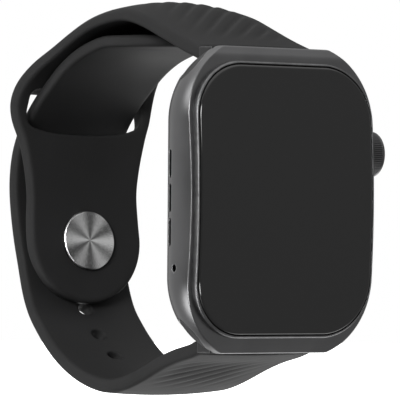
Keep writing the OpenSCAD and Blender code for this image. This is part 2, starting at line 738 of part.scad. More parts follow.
module stud_post() {
    color([0.75, 0.75, 0.77]) at_stud() rotate([-90, 0, 0]) rotate_extrude()
        polygon([[0, -0.12], [1.08, -0.12], [1.08, stack_t + 0.4], [2.1, stack_t + 0.5],
                 [2.2, stack_t + 0.8], [1.9, stack_t + 1.3], [0, stack_t + 1.4]]);
}

case_frame();
bezel_ring();
cover_glass();
glass_gasket();
display_panel();
display_bracket();
display_flex();
back_cover();
back_crystal();
crystal_gasket();
back_screws();
sensor_board();
sensor_leds();
charging_coil();
coil_ferrite();
battery();
battery_wrap();
main_board();
board_chips();
board_screws();
speaker_module();
speaker_mesh();
microphone();
mic_mesh();
vibration_motor();
antenna_strip();
crown_bush();
crown_seal();
crown_knob();
crown_cap();
crown_shaft();
crown_clip();
crown_encoder();
crown_plunger();
crown_switch();
side_button();
side_button_clip();
side_button_switch();
release_button_upper();
release_button_lower();
upper_strap();
lower_strap();
upper_lug();
lower_lug();
lug_catches();
stud_disc();
stud_post();
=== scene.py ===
import json
import math

import bpy
import numpy as np
from mathutils import Matrix, Vector


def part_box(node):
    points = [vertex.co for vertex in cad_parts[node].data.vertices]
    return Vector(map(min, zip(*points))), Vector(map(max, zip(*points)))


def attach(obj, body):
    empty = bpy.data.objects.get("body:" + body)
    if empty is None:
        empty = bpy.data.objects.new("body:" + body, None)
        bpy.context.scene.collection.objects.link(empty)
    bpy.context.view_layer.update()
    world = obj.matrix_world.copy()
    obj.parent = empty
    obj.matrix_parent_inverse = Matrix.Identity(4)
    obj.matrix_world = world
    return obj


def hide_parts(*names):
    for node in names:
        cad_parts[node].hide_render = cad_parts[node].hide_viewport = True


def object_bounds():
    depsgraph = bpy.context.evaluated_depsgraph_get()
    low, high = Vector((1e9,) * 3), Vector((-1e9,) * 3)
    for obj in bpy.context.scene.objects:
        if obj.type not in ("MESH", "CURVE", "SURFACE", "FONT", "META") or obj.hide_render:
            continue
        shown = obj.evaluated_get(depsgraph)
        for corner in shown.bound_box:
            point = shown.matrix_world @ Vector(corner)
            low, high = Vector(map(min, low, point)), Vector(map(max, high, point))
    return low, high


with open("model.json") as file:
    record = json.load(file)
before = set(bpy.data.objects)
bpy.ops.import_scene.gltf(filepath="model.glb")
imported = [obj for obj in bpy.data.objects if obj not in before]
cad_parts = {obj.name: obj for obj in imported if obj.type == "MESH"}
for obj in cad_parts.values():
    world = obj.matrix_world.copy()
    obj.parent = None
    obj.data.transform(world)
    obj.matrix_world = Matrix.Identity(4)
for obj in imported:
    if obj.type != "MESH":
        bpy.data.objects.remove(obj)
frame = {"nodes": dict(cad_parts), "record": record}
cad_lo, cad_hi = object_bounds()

# Shapes are worked out in millimetres, in the row frame, and written to meshes in metres.
MM = 0.001


def box(node):
    """Lowest and highest corner of a CAD node, in millimetres."""
    lo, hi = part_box(node)
    return np.array(lo) / MM, np.array(hi) / MM


# ---- sizes, from the frame ----
case_lo, case_hi = box("case_frame")
ring_lo, ring_hi = box("bezel_ring")
glass_lo, glass_hi = box("cover_glass")
knob_lo, knob_hi = box("crown_knob")
window_lo, window_hi = box("back_crystal")
button_lo, button_hi = box("side_button")
release_lo, release_hi = box("release_button_upper")
half_w = case_hi[0]
half_h = case_hi[2]
back_y = case_hi[1]                # joint between the case and its cover
cover_y = box("back_cover")[1][1]  # outer face of the cover
cap_x = box("crown_cap")[0][0]
disc_r = box("stud_disc")[1][0]
knob_len = knob_hi[0] - knob_lo[0]
crown_y, crown_z = (knob_lo[1] + knob_hi[1]) / 2, (knob_lo[2] + knob_hi[2]) / 2
crown_r = (knob_hi[2] - knob_lo[2]) / 2
button_y, button_z = (button_lo[1] + button_hi[1]) / 2, (button_lo[2] + button_hi[2]) / 2
release_z = (release_lo[2] + release_hi[2]) / 2

# ---- sizes, as in the CAD model ----
CORNER_R = 12.5           # corner of the case, seen from the front
END_CUT = 0.9             # what the flat ends take off the rounded outline
SIDE_R = 6.5              # rounded side, seen from the end
WIDE_Y = -6.5             # where the case is widest
ARCH_R = 160.0            # arched front
SHOULDER_Y = -9.7         # the front's level at the middle
LEDGE_Y = -9.2            # the ring's seat
DECK_Y = -8.6             # the floor under the display
DECK = (30.2, 39, 7.4)    # width, height and corner radius of the opening over that floor
BAY = (28.4, 34.6, 5.0)   # the same for the bay inside the case
BEVEL = (1.6, 0.8, -8.2)  # the bevelled ends: how far in, how far back, and the level of the inner edge
EDGE_R = 0.16             # softened edges of the case
RING_R = 8.9              # corners of the ring
RING_W = 0.4              # its width on each side
GLASS_R = 8.4
GLASS_T = 1.2
GAP = 0.3                 # round the crown and the buttons, across
OPENING_X = 12.0          # how deep the openings in the sides are cut
CROWN_BORE_X = 16.7
BUTTON = (10.0, 2.6)      # length and width
BUTTON_BACK_X = 15.1
STEM = (14.05, 15.3, 0.8)  # the button's stem: its ends and its radius
SPEAKER_SLOTS = ((3.2, 7.5), (-2.0, 2.3), (-7.2, -2.9))
SPEAKER_Y = -4.6
SPEAKER_W = 1.0
MIC_Y, MIC_Z, MIC_R = -6.2, -10.5, 0.55
RELEASE = (5.0, 1.2)      # length and width
SCREW_X, SCREW_Z = 12, 15.4
SCREW_R = 0.95            # the head
SCREW_SINK = 0.45         # depth of the recess for the head
SCREW_TIP_Y = -4.2
LUG_W = 22.0
BEAD_Y = -4.6             # the lug's round bead
BEAD_Z = half_h - 2.9
BEAD_R = 2.27
CHANNEL_R = 2.35          # the groove for the bead
arch_y = SHOULDER_Y + ARCH_R
corner_x = half_w - CORNER_R
corner_z = half_h + END_CUT - CORNER_R


# ---- distance functions: negative inside, in millimetres ----
def length(*v):
    return np.sqrt(sum(a * a for a in v))


def both(a, b, r):
    """What is inside both, with the edge between them rounded to radius r."""
    return np.minimum(np.maximum(a, b), -r) + length(np.maximum(a + r, 0), np.maximum(b + r, 0))


def either(a, b, r):
    """What is inside either, with a fillet of radius r between them."""
    return np.maximum(np.minimum(a, b), r) - length(np.maximum(r - a, 0), np.maximum(r - b, 0))


def cut(a, b, r):
    return both(a, -b, r)


def slab(v, lo, hi):
    return np.maximum(lo - v, v - hi)


def rounded(x, z, w, h, r):
    """A rounded rectangle of width w and height h."""
    a, b = np.abs(x) - (w / 2 - r), np.abs(z) - (h / 2 - r)
    return length(np.maximum(a, 0), np.maximum(b, 0)) + np.minimum(np.maximum(a, b), 0) - r


def stadium(a, b, long, wide):
    """A slot along a with round ends."""
    return length(np.maximum(np.abs(a) - (long - wide) / 2, 0), b) - wide / 2


def case_side(x, y, z, inset=0.0):
    """The rounded side all round the case."""
    reach = length(np.maximum(np.abs(x) - corner_x, 0), np.maximum(np.abs(z) - corner_z, 0))
    return length(np.maximum(reach - (CORNER_R - SIDE_R), 0), y - WIDE_Y) - SIDE_R + inset


def behind(y, z, level):
    """Behind the arched surface that passes the given level at the middle."""
    return length(y - arch_y, z) - (arch_y - level)


# ---- meshing ----
def sample(f, lo, hi, cell):
    count = np.ceil((hi - lo) / cell).astype(int) + 1
    axes = [lo[i] + cell * np.arange(count[i]) for i in range(3)]
    values = [f(*np.meshgrid(part, axes[1], axes[2], indexing="ij"))
              for part in np.array_split(axes[0], max(1, count[0] // 24))]
    return np.concatenate(values)


def crossings(v, axis):
    """Where the surface crosses the grid along an axis: cell, point, and whether the low end is inside."""
    a = np.moveaxis(v, axis, 0)
    low, high = np.moveaxis(a[:-1], 0, axis), np.moveaxis(a[1:], 0, axis)
    where = np.argwhere((low < 0) != (high < 0))
    at = tuple(where.T)
    point = where.astype(float)
    point[:, axis] += low[at] / (low[at] - high[at])
    return where, point, low[at] < 0


def settle(f, p, cell, steps):
    """Moves points along the gradient onto the surface."""
    for _ in range(steps):
        g = gradient(f, p, 0.02)
        d = f(p[:, 0], p[:, 1], p[:, 2])
        move = -(d / np.maximum((g * g).sum(1), 0.05))[:, None] * g
        far = np.maximum(length(*move.T) / (0.7 * cell), 1)
        p = p + move / far[:, None]
    return p


def nets(f, lo, hi, cell, steps=3):
    """Vertices and quads on the surface f = 0 inside a box, all in millimetres."""
    lo, hi = np.array(lo, float) - 1.5 * cell, np.array(hi, float) + 1.5 * cell
    v = sample(f, lo, hi, cell)
    cells = np.array(v.shape) - 1
    total = np.zeros(cells.prod() * 3).reshape(-1, 3)
    hits = np.zeros(cells.prod())
    quads = []
    for axis in range(3):
        where, point, inside_first = crossings(v, axis)
        u, w = (axis + 1) % 3, (axis + 2) % 3
        around, ok = [], np.ones(len(where), bool)
        for du, dw in ((-1, -1), (0, -1), (0, 0), (-1, 0)):
            c = where.copy()
            c[:, u] += du
            c[:, w] += dw
            good = ((c >= 0) & (c < cells)).all(1)
            ok &= good
            index = np.where(good, np.ravel_multi_index(tuple(np.clip(c, 0, cells - 1).T), cells), 0)
            around.append(index)
            np.add.at(total, index[good], point[good])
            np.add.at(hits, index[good], 1)
        q = np.stack(around, 1)[ok]
        turn = ~inside_first[ok]
        q[turn] = q[turn][:, ::-1]
        quads.append(q)
    used = np.flatnonzero(hits)
    renumber = np.full(len(hits), -1)
    renumber[used] = np.arange(len(used))
    p = lo + cell * total[used] / hits[used][:, None]
    return settle(f, p, cell, steps), renumber[np.concatenate(quads)]


def gradient(f, p, h):
    out = np.empty_like(p)
    for i in range(3):
        step = np.zeros(3)
        step[i] = h
        a, b = p + step, p - step
        out[:, i] = (f(a[:, 0], a[:, 1], a[:, 2]) - f(b[:, 0], b[:, 1], b[:, 2])) / (2 * h)
    return out


def normals_of(f, p):
    n = gradient(f, p, 0.04)
    return n / np.maximum(length(*n.T), 1e-9)[:, None]


def to_mesh(name, points, faces, edge=None, normals=None):
    """A smooth-shaded object from points in millimetres. edge is a value at each point, for the materials."""
    mesh = bpy.data.meshes.new(name)
    if isinstance(faces, np.ndarray):
        faces = faces.tolist()
    mesh.from_pydata((np.asarray(points) * MM).tolist(), [], faces)
    mesh.polygons.foreach_set("use_smooth", [True] * len(mesh.polygons))
    if edge is not None:
        layer = mesh.attributes.new("edge", "FLOAT", "POINT")
        layer.data.foreach_set("value", np.asarray(edge, np.float32))
    mesh.update()
    if normals is not None:
        mesh.normals_split_custom_set_from_vertices(normals.tolist())
    obj = bpy.data.objects.new(name, mesh)
    bpy.context.scene.collection.objects.link(obj)
    return obj


def edge_of(f, p, n):
    """How sharply the surface bends outward at each point, from 0 on a flat to 1 on an edge."""
    reach = 0.3
    inside = p - n * reach
    d = f(inside[:, 0], inside[:, 1], inside[:, 2])
    return np.clip((reach + d) / (0.3 * reach), 0, 1)


def solid(name, f, lo, hi, cell):
    """A piece whose surface is f = 0, meshed in cells of the given size."""
    p, q = nets(f, lo, hi, cell)
    n = normals_of(f, p)
    return to_mesh(name, p, q, edge_of(f, p, n), n)


def lathe(name, profile, origin, axis, around=96, grooves=None):
    """Turns (along, radius) points about an axis. grooves takes (angle, along, radius) to a radius change."""
    origin, axis = np.array(origin), np.array(axis, float)
    side = np.cross(axis, [0.3, 0.5, 0.8])
    side /= np.linalg.norm(side)
    other = np.cross(axis, side)
    t = np.linspace(0, 2 * math.pi, around, endpoint=False)
    spokes = np.cos(t)[:, None] * side + np.sin(t)[:, None] * other
    rings = []
    for along, r in profile:
        radius = np.full(around, float(r)) + (grooves(t, along, r) if grooves else 0)
        rings.append(origin + axis * along + radius[:, None] * spokes)
    centres = [[origin + axis * profile[0][0]], [origin + axis * profile[-1][0]]]
    last = (len(rings) - 1) * around
    pairs = [(a, (a + 1) % around) for a in range(around)]
    faces = [[i + a, i + b, i + around + b, i + around + a] for i in range(0, last, around) for a, b in pairs]
    faces += [[last + around, b, a] for a, b in pairs]
    faces += [[last + around + 1, last + a, last + b] for a, b in pairs]
    return to_mesh(name, np.concatenate(rings + centres), faces)


def crease(obj, degrees=32):
    """Marks the sharp edges of a turned piece, so that its flats shade flat."""
    obj.data.set_sharp_from_angle(angle=math.radians(degrees))
    return obj


def fillet(corners, r, steps=5):
    """A profile with its corners rounded: each is (along, radius)."""
    out = [tuple(corners[0])]
    for a, b, c in zip(corners, corners[1:], corners[2:]):
        a, b, c = np.array(a, float), np.array(b, float), np.array(c, float)
        back, on = a - b, c - b
        room = min(r, np.linalg.norm(back) * 0.48, np.linalg.norm(on) * 0.48)
        p = b + back / np.linalg.norm(back) * room
        q = b + on / np.linalg.norm(on) * room
        for t in np.linspace(0, 1, steps):
            out.append(tuple((1 - t) ** 2 * p + 2 * t * (1 - t) * b + t * t * q))
    out.append(tuple(corners[-1]))
    return out


# ---- materials ----
class Nodes:
    """A short way to write a node tree."""

    def __init__(self, name):
        self.material = bpy.data.materials.new(name)
        self.material.use_nodes = True
        self.tree = self.material.node_tree
        self.shader = self.tree.nodes["Principled BSDF"]
        self.place = self.add("ShaderNodeTexCoord").outputs["Object"]

    def add(self, kind, **inputs):
        node = self.tree.nodes.new(kind)
        for key, value in inputs.items():
            self.set(node, key.replace("_", " "), value)
        return node

    def set(self, node, key, value):
        socket = node.inputs[int(key)] if key.isdigit() else node.inputs[key]
        if isinstance(value, bpy.types.NodeSocket):
            self.tree.links.new(value, socket)
        else:
            socket.default_value = value

    def noise(self, scale, detail=3.0, roughness=0.5, place=None):
        node = self.add("ShaderNodeTexNoise", Scale=scale, Detail=detail, Roughness=roughness)
        self.tree.links.new(place or self.place, node.inputs["Vector"])
        return node.outputs["Fac"]

    def ramp(self, value, low, high, out_low=0.0, out_high=1.0):
        node = self.add("ShaderNodeMapRange")
        for key, v in (("Value", value), ("From Min", low), ("From Max", high),
                       ("To Min", out_low), ("To Max", out_high)):
            self.set(node, key, v)
        return node.outputs["Result"]

    def math(self, operation, a, b=0.0):
        node = self.add("ShaderNodeMath")
        node.operation = operation
        self.set(node, "0", a)
        self.set(node, "1", b)
        return node.outputs[0]

    def mix(self, factor, a, b):
        node = self.add("ShaderNodeMix")
        node.data_type = "RGBA"
        self.set(node, "0", factor)
        self.set(node, "6", a)
        self.set(node, "7", b)
        return node.outputs[2]

    def vectors(self, operation, a, b, output="Vector"):
        node = self.add("ShaderNodeVectorMath")
        node.operation = operation
        self.set(node, "0", a)
        self.set(node, "1", b)
        return node.outputs[output]

    def bump(self, height, strength, distance):
        node = self.add("ShaderNodeBump", Strength=strength, Distance=distance, Height=height)
        return node.outputs["Normal"]

    def attribute(self, name):
        node = self.add("ShaderNodeAttribute")
        node.attribute_name = name
        return node.outputs["Fac"]

    def finish(self, **inputs):
        for key, value in inputs.items():
            self.set(self.shader, key.replace("_", " "), value)
        return self.material


def grey(v, tint=(1.0, 1.0, 1.0)):
    return (v * tint[0], v * tint[1], v * tint[2], 1.0)


METAL_TINT = (1.0, 1.0, 1.015)


def blasted_metal(name, tone, rough):
    """Bead-blasted anodised metal: a fine grain, faint clouding, edges a little brighter, partly as wear and
    partly as a painted highlight.
    """
    n = Nodes(name)
    clouds = n.noise(180, 4)
    grain = n.noise(9000, 2)
    edge_wear_and_highlight = n.math("MULTIPLY", n.attribute("edge"), n.noise(900, 3))
    base = n.mix(n.ramp(clouds, 0.3, 0.7), grey(tone * 0.93, METAL_TINT), grey(tone * 1.05, METAL_TINT))
    # edges painted lighter: partly wear, partly a painted highlight where light would catch them
    base = n.mix(n.ramp(edge_wear_and_highlight, 0.2, 0.75), base, grey(tone * 1.7, METAL_TINT))
    roughness = n.math("ADD", n.ramp(grain, 0.2, 0.8, rough - 0.03, rough + 0.03),
                       n.ramp(clouds, 0.3, 0.7, -0.02, 0.02))
    normal = n.bump(grain, 0.12, 0.00003)
    return n.finish(Base_Color=base, Metallic=1.0, Roughness=roughness, Normal=normal)


def turned_metal(name, tone, rough, scale=4000.0):
    """Plain turned or rolled steel with fine marks."""
    n = Nodes(name)
    marks = n.noise(scale, 3)
    base = n.mix(n.ramp(marks, 0.3, 0.7), grey(tone * 0.9), grey(tone * 1.06))
    roughness = n.ramp(marks, 0.2, 0.8, rough - 0.05, rough + 0.07)
    return n.finish(Base_Color=base, Metallic=1.0, Roughness=roughness, Normal=n.bump(marks, 0.15, 0.00002))


def moulded(name, colour, rough, grain_scale=5000.0, depth=0.00003, strength=0.25):
    """Moulded plastic or rubber: matt grain, faint handling marks."""
    n = Nodes(name)
    grain = n.noise(grain_scale, 2)
    handling = n.noise(140, 4)
    dark = tuple(c * 0.9 for c in colour) + (1.0,)
    light = tuple(min(c * 1.12, 1.0) for c in colour) + (1.0,)
    base = n.mix(n.ramp(handling, 0.3, 0.7), dark, light)
    roughness = n.math("ADD", n.ramp(grain, 0.2, 0.8, rough - 0.04, rough + 0.04),
                       n.ramp(handling, 0.35, 0.65, -0.03, 0.03))
    return n.finish(Base_Color=base, Roughness=roughness, Normal=n.bump(grain, strength, depth))


def strap_rubber(name):
    """Soft-touch rubber: a dark matt skin with a faint bloom, edges painted slightly lighter as a highlight.
    """
    n = Nodes(name)
    grain = n.noise(6000, 3)
    bloom = n.noise(90, 5, 0.55)
    dust = n.noise(2600, 2, 0.7)
    tone = n.mix(n.ramp(bloom, 0.3, 0.7), grey(0.021), grey(0.025, (1.0, 1.0, 1.02)))
    tone = n.mix(n.ramp(dust, 0.68, 0.8, 0.0, 0.35), tone, grey(0.03))
    # painted highlight: the edges are lighter where light would catch them
    tone = n.mix(n.math("MULTIPLY", n.attribute("edge"), 0.5), tone, grey(0.03))
    roughness = n.math("ADD", n.ramp(bloom, 0.3, 0.7, 0.52, 0.58), n.ramp(grain, 0.2, 0.8, -0.03, 0.03))
    return n.finish(Base_Color=tone, Roughness=roughness, Specular_IOR_Level=0.07,
                    Normal=n.bump(grain, 0.22, 0.00003))


def dark_glass(name, tone, rough):
    """Polished cover glass over a black panel, with the faintest smears."""
    n = Nodes(name)
    smear = n.noise(60, 4)
    base = n.mix(smear, grey(tone * 0.95), grey(tone * 1.05))
    roughness = n.ramp(smear, 0.3, 0.7, rough, rough + 0.02)
    return n.finish(Base_Color=base, Roughness=roughness, IOR=1.5)


GLINT_WEDGES, GLINT_TURN = 6.0, 1.2         # how many painted highlight wedges go round the disc, and how they are turned
SLOW_GLINT_WEDGES, SLOW_GLINT_TURN = 2.0, 0.6
TURNING_PITCH = 0.00012


def round_axis(n, centre, axis):
    """Nodes for the angle and the distance round an axis, and for the direction that runs round it."""
    offset = n.vectors("SUBTRACT", n.place, tuple(centre))
    side = Vector((1, 0, 0))
    a = n.vectors("DOT_PRODUCT", offset, tuple(side), "Value")
    b = n.vectors("DOT_PRODUCT", offset, tuple(axis.cross(side)), "Value")
    radius = n.math("SQRT", n.math("ADD", n.math("MULTIPLY", a, a), n.math("MULTIPLY", b, b)))
    return n.math("ARCTAN2", b, a), radius, n.vectors("CROSS_PRODUCT", tuple(axis), offset)


def spun_steel_painted_glints(name, centre, normal, tone):
    """Spun steel: painted highlight and painted shade in wedges round the centre, streaks, and fine turning
    marks.
    """
    n = Nodes(name)
    angle, radius, round_way = round_axis(n, centre, Vector(normal).normalized())
    glint_wedges = n.math("SINE", n.math("ADD", n.math("MULTIPLY", angle, GLINT_WEDGES), GLINT_TURN))
    slow_glints = n.math("SINE", n.math("ADD", n.math("MULTIPLY", angle, SLOW_GLINT_WEDGES), SLOW_GLINT_TURN))
    spread = n.add("ShaderNodeCombineXYZ", X=n.math("MULTIPLY", angle, 24.0),
                   Y=n.math("MULTIPLY", radius, 500.0))
    streaks = n.noise(3.0, 3, place=spread.outputs[0])
    glints_and_streaks = n.math("ADD", n.math("MULTIPLY", glint_wedges, 0.3), n.math("MULTIPLY", slow_glints, 0.14))
    glints_and_streaks = n.math("ADD", glints_and_streaks, n.ramp(streaks, 0.25, 0.75, 0.25, 0.75))
    # painted highlight and shade: the wedges stand for the reflections that a spun disc shows, mixed with
    # streaks
    base = n.mix(n.ramp(glints_and_streaks, 0.12, 0.88), grey(tone * 0.25), grey(min(tone * 1.9, 0.97)))
    turning = n.math("SINE", n.math("MULTIPLY", radius, 2 * math.pi / TURNING_PITCH))
    return n.finish(Base_Color=base, Metallic=1.0, Roughness=n.ramp(streaks, 0.3, 0.7, 0.3, 0.42),
                    Anisotropic=0.75, Tangent=round_way, Normal=n.bump(turning, 0.12, 0.000004))


def coated_board(name):
    """Solder mask with copper tracks showing faintly."""
    n = Nodes(name)
    cellular = n.add("ShaderNodeTexVoronoi", Scale=900.0)
    n.tree.links.new(n.place, cellular.inputs["Vector"])
    cellular.distance = "CHEBYCHEV"
    tracks = n.ramp(cellular.outputs["Distance"], 0.35, 0.5)
    base = n.mix(tracks, (0.01, 0.09, 0.035, 1), (0.02, 0.16, 0.06, 1))
    return n.finish(Base_Color=base, Roughness=n.ramp(n.noise(2500), 0.2, 0.8, 0.25, 0.4),
                    Normal=n.bump(tracks, 0.3, 0.00003))


def woven_mesh(name):
    """Fine woven steel mesh."""
    n = Nodes(name)
    wave = n.add("ShaderNodeTexWave", Scale=1400.0)
    wave.bands_direction = "Y"
    cross = n.add("ShaderNodeTexWave", Scale=1400.0)
    cross.bands_direction = "Z"
    for w in (wave, cross):
        n.tree.links.new(n.place, w.inputs["Vector"])
    weave = n.math("MULTIPLY", wave.outputs["Fac"], cross.outputs["Fac"])
    base = n.mix(weave, grey(0.02), grey(0.12))
    return n.finish(Base_Color=base, Metallic=1.0, Roughness=n.ramp(weave, 0, 1, 0.6, 0.35),
                    Normal=n.bump(weave, 0.5, 0.00005))


def keep(obj, material, body, slot, *nodes):
    """Gives a new piece its material and its body, and hides the CAD nodes that it stands for; the slot is
    not used.
    """
    obj.data.materials.clear()
    obj.data.materials.append(material)
    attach(obj, body)
    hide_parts(*nodes)
    return obj


case_metal = blasted_metal("case_metal", 0.155, 0.32)
ring_metal = blasted_metal("ring_metal", 0.105, 0.4)
crown_metal = blasted_metal("crown_metal", 0.12, 0.36)
glass = dark_glass("cover_glass", 0.012, 0.05)
window = dark_glass("back_glass", 0.01, 0.06)
back_plastic = moulded("back_plastic", (0.014, 0.014, 0.015), 0.22, 3000.0, 0.00001, 0.1)
lug_metal = blasted_metal("lug_metal", 0.06, 0.42)
cap_black = moulded("cap_black", (0.01, 0.01, 0.01), 0.25, 2500.0, 0.00001, 0.1)
screw_steel = turned_metal("screw_steel", 0.25, 0.35)
rubber = strap_rubber("strap_rubber")

# ---- case ----
FINE = 0.17


def lug_channel(y, z):
    """The groove across each end that holds the strap's lug."""
    up = np.abs(z)
    round_part = length(up - BEAD_Z, y - BEAD_Y) - CHANNEL_R
    mouth = np.maximum(BEAD_Z - up, slab(y, -5.9, -2.3))
    rear = np.maximum(half_h - 2.2 - up, -2.3 - y)
    return np.minimum(np.minimum(round_part, mouth), rear)


def side_openings(d, x, y, z):
    """Cuts the crown's bore, the side button's window, the speaker's slots and the microphone's hole."""
    bore = np.maximum(length(y - crown_y, z - crown_z) - crown_r - GAP, CROWN_BORE_X - x)
    d = cut(d, bore, 0.12)
    frame_of_button = stadium(z - button_z, y - button_y, BUTTON[0] + GAP, BUTTON[1] + GAP)
    d = cut(d, np.maximum(frame_of_button, OPENING_X - x), 0.1)
    for low, high in SPEAKER_SLOTS:
        slot = stadium(z - (low + high) / 2, y - SPEAKER_Y, high - low, SPEAKER_W)
        d = cut(d, np.maximum(slot, x + OPENING_X), 0.1)
    mic = np.maximum(length(y - MIC_Y, z - MIC_Z) - MIC_R, x + OPENING_X)
    return cut(d, mic, 0.1)


def case_shape(x, y, z):
    up = np.abs(z)
    inward, backward, level = BEVEL
    slope = math.atan2(backward, inward)
    bevel = (up - (half_h - inward)) * math.sin(slope) - (y - level) * math.cos(slope)
    d = both(case_side(x, y, z), behind(y, z, SHOULDER_Y), EDGE_R)
    d = both(both(d, bevel, EDGE_R), up - half_h, EDGE_R)
    d = cut(both(d, y - back_y, 0.08), lug_channel(y, z), 0.12)
    # the seat's wall stands under the ring, where it isn't seen
    seat = rounded(x, z, ring_hi[0] * 2 - 0.5, ring_hi[2] * 2 - 0.5, RING_R - 0.25)
    for hollow in (np.maximum(seat, -behind(y, z, LEDGE_Y)),
                   np.maximum(rounded(x, z, *DECK), -behind(y, z, DECK_Y)),
                   rounded(x, z, *BAY)):
        d = np.maximum(d, -hollow)
    return side_openings(d, x, y, z)


keep(solid("case", case_shape, case_lo, case_hi, FINE), case_metal, "case", "case_metal", "case_frame")


def ring_shape(x, y, z):
    d = both(rounded(x, z, ring_hi[0] * 2, ring_hi[2] * 2, RING_R), behind(y, z, ring_lo[1]), 0.4)
    d = np.maximum(d, -behind(y, z, LEDGE_Y))
    inside = rounded(x, z, (ring_hi[0] - RING_W) * 2, (ring_hi[2] - RING_W) * 2, RING_R - RING_W)
    return cut(d, inside, 0.1)


ring = solid("ring", ring_shape, ring_lo, ring_hi, 0.13)
keep(ring, ring_metal, "case", "ring_metal", "bezel_ring")


def glass_shape(x, y, z):
    d = both(rounded(x, z, glass_hi[0] * 2, glass_hi[2] * 2, GLASS_R), behind(y, z, glass_lo[1]), 0.55)
    return both(d, -behind(y, z, glass_lo[1] + GLASS_T), 0.1)


keep(solid("glass", glass_shape, glass_lo, glass_hi, FINE), glass, "case", "cover_glass", "cover_glass")


def cover_shape(x, y, z):
    d = both(case_side(x, y, z), y - cover_y, 0.2)
    d = both(d, np.abs(z) - half_h, 0.15)
    d = both(d, back_y - y, 0.06)
    d = cut(d, length(x, z) - (window_hi[0] + 0.1), 0.12)
    for place in (release_z, -release_z):
        d = cut(d, stadium(x, z - place, RELEASE[0] + GAP, RELEASE[1] + GAP), 0.1)
    head = length(np.abs(x) - SCREW_X, np.abs(z) - SCREW_Z)
    return cut(d, np.maximum(head - SCREW_R - 0.1, cover_y - SCREW_SINK - y), 0.08)


cover = solid("cover", cover_shape, (-half_w, back_y, -half_h), (half_w, cover_y, half_h), FINE)
keep(cover, back_plastic, "case", "back_plastic", "back_cover")

dome = [(window_lo[1], 0.0), (window_lo[1], window_hi[0])]
dome += [(cover_y * (1 - math.sin(a)), window_hi[0] - 2 + 2 * math.cos(a))
         for a in np.linspace(0, math.pi / 2, 16)]
dome += [(0.0, 6.0), (0.0, 0.05)]
keep(crease(lathe("window", dome, (0, 0, 0), (0, 1, 0), 144)), window, "case", "back_glass", "back_crystal")


def screw(x, z):
    """A screw head with a six-pointed recess, and its shank."""
    def shape(px, py, pz):
        r = length(px - x, pz - z)
        d = both(r - SCREW_R, slab(py, cover_y - SCREW_SINK, cover_y - 0.05), 0.1)
        angle = np.arctan2(pz - z, px - x)
        star = np.maximum(r - 0.42 - 0.1 * np.cos(6 * angle), cover_y - 0.3 - py)
        shank = np.maximum(r - 0.5, slab(py, SCREW_TIP_Y, cover_y - 0.4))
        return np.minimum(cut(d, star, 0.03), shank)
    lo, hi = (x - SCREW_R, SCREW_TIP_Y, z - SCREW_R), (x + SCREW_R, cover_y, z + SCREW_R)
    return solid("screw", shape, lo, hi, 0.1)


screws = [screw(x, z) for x in (-SCREW_X, SCREW_X) for z in (-SCREW_Z, SCREW_Z)]
with bpy.context.temp_override(active_object=screws[0], selected_editable_objects=screws):
    bpy.ops.object.join()
screws[0].name = "back_screw_heads"
keep(screws[0], screw_steel, "case", "screw_steel", "back_screws")

# ---- crown and side button ----
KNURLS = 72
KNURL_END = 0.55          # plain length at either end of the crown
FACE_R = crown_r - 0.8     # the recess for the cap


def knurl(angle, along, radius):
    ridged = KNURL_END <= along <= knob_len - KNURL_END and radius > crown_r - 0.2
    depth = 0.15 if ridged else 0.0
    return -depth * (0.5 + 0.5 * np.cos(angle * KNURLS)) ** 2


outline = [(0.0, 0.05), (0.0, crown_r - 0.35), (0.3, crown_r), (0.5, crown_r)]
outline += [(a, crown_r) for a in np.linspace(KNURL_END, knob_len - KNURL_END, 12)]
outline += fillet([(knob_len - 0.5, crown_r), (knob_len - 0.05, crown_r), (knob_len, crown_r - 0.45),
                   (knob_len, FACE_R), (knob_len - 0.3, FACE_R)], 0.18)
outline += [(knob_len - 0.3, 0.05)]
knob = lathe("crown", outline, (knob_lo[0], crown_y, crown_z), (1, 0, 0), KNURLS * 8, knurl)
keep(crease(knob, 50), crown_metal, "crown", "crown_metal", "crown_knob")
cap_outline = fillet([(0.0, 0.05), (0.0, FACE_R - 0.02), (0.22, FACE_R - 0.02), (0.22, 0.05)], 0.07)
cap = lathe("crown_face", cap_outline, (cap_x, crown_y, crown_z), (1, 0, 0))
keep(crease(cap), cap_black, "crown", "cap_black", "crown_cap")


def button_shape(x, y, z):
    face = length(x - (half_w - SIDE_R), y - WIDE_Y) - (SIDE_R + 0.1)
    body = both(stadium(z - button_z, y - button_y, *BUTTON), face, 0.2)
    stem_lo, stem_hi, stem_r = STEM
    stem = np.maximum(length(y - button_y, z - button_z) - stem_r, x - stem_hi)
    return np.maximum(np.minimum(np.maximum(body, BUTTON_BACK_X - x), stem), stem_lo - x)


button = solid("button", button_shape, button_lo, button_hi, 0.15)
keep(button, case_metal, "side_button", "case_metal", "side_button")


def release_button(name, node, body, place):
    """One of the two buttons in the cover that free the strap."""
    def shape(x, y, z):
        d = both(stadium(x, z - place, *RELEASE), y - (cover_y - 0.05), 0.12)
        d = np.maximum(d, back_y - 0.1 - y)
        flange = np.maximum(stadium(x, z - place, 6.0, 1.8), slab(y, back_y - 0.35, back_y - 0.05))
        return np.minimum(d, flange)
    keep(solid(name, shape, *box(node), 0.12), case_metal, body, "case_metal", node)


release_button("release_upper", "release_button_upper", "release_upper", release_z)
release_button("release_lower", "release_button_lower", "release_lower", -release_z)

# ---- lugs ----
def lug_profile(y, up):
    """The bead in the groove, the web out of it, and the tail along the strap's end."""
    bead = length(up - BEAD_Z, y - BEAD_Y) - BEAD_R
    web = np.maximum(slab(up, BEAD_Z + 0.6, half_h - 0.08), slab(y, -5.82, -2.4))
    tail = np.maximum(slab(up, half_h - 2.1, half_h - 0.02), slab(y, -4.0, -2.45))
    return np.minimum(either(bead, web, 0.1), tail)


